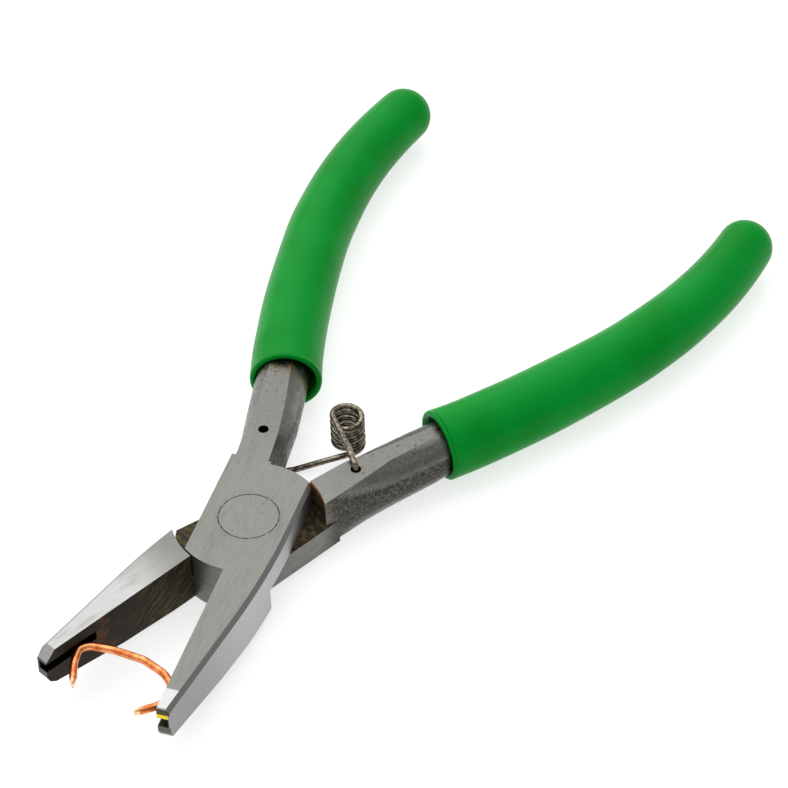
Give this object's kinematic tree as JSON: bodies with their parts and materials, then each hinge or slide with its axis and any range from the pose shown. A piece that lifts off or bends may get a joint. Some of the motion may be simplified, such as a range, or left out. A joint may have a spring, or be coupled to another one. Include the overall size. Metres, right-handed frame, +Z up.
{
  "type": "flat nose pliers",
  "caption": "Spring-return lap-joint pliers with flat tapered jaws, a groove in each jaw for an open wire ring, and dipped plastic sleeves.",
  "frame": {"origin": "on the pivot axis, at the lower face of the head, in the open rest pose", "axes": "+Z up along the pivot axis, +Y between the two handles, -Y between the two jaws, +X towards the lower half's handle"},
  "size_m": [0.077, 0.1429, 0.0116],
  "materials": {
    "forged_steel": "ground faces, dark forged tangs",
    "rivet_steel": "ground flush",
    "green_sleeve": "glossy dipped vinyl",
    "spring_steel": "drawn wire with a bronze tint",
    "copper_wire": "bare drawn copper"
  },
  "bodies": {
    "lower_half": {"lower_half": "forged_steel", "lower_grip": "green_sleeve", "pivot_rivet": "rivet_steel", "copper_ring": "copper_wire"},
    "upper_half": {"upper_half": "forged_steel", "upper_grip": "green_sleeve"},
    "spring_coil": {"spring_coil": "spring_steel"},
    "spring_leg": {"spring_leg": "spring_steel"}
  },
  "joints": [
    {"name": "pivot", "type": "hinge", "parent": "lower_half", "child": "upper_half", "pos_m": [0, 0, 0.0046], "axis": [0, 0, 1], "range_deg": [-23.5, 5], "stiffness_Nm_per_rad": 0.3, "deforming": ["copper_ring"]},
    {"name": "spring_coil_turn", "type": "hinge", "parent": "lower_half", "child": "spring_coil", "pos_m": [0.00866, 0.0171, 0.0092], "axis": [0, 0, 1], "range_deg": [-32, 8]},
    {"name": "spring_leg_turn", "type": "hinge", "parent": "spring_coil", "child": "spring_leg", "pos_m": [0, 0.0279, 0.002], "axis": [0, 0, 1], "range_deg": [-10, 38]}
  ],
  "couplings": [
    {"joint": "spring_coil_turn", "follows": "pivot", "ratio": 1.25},
    {"joint": "spring_leg_turn", "follows": "pivot", "ratio": -1.5}
  ]
}
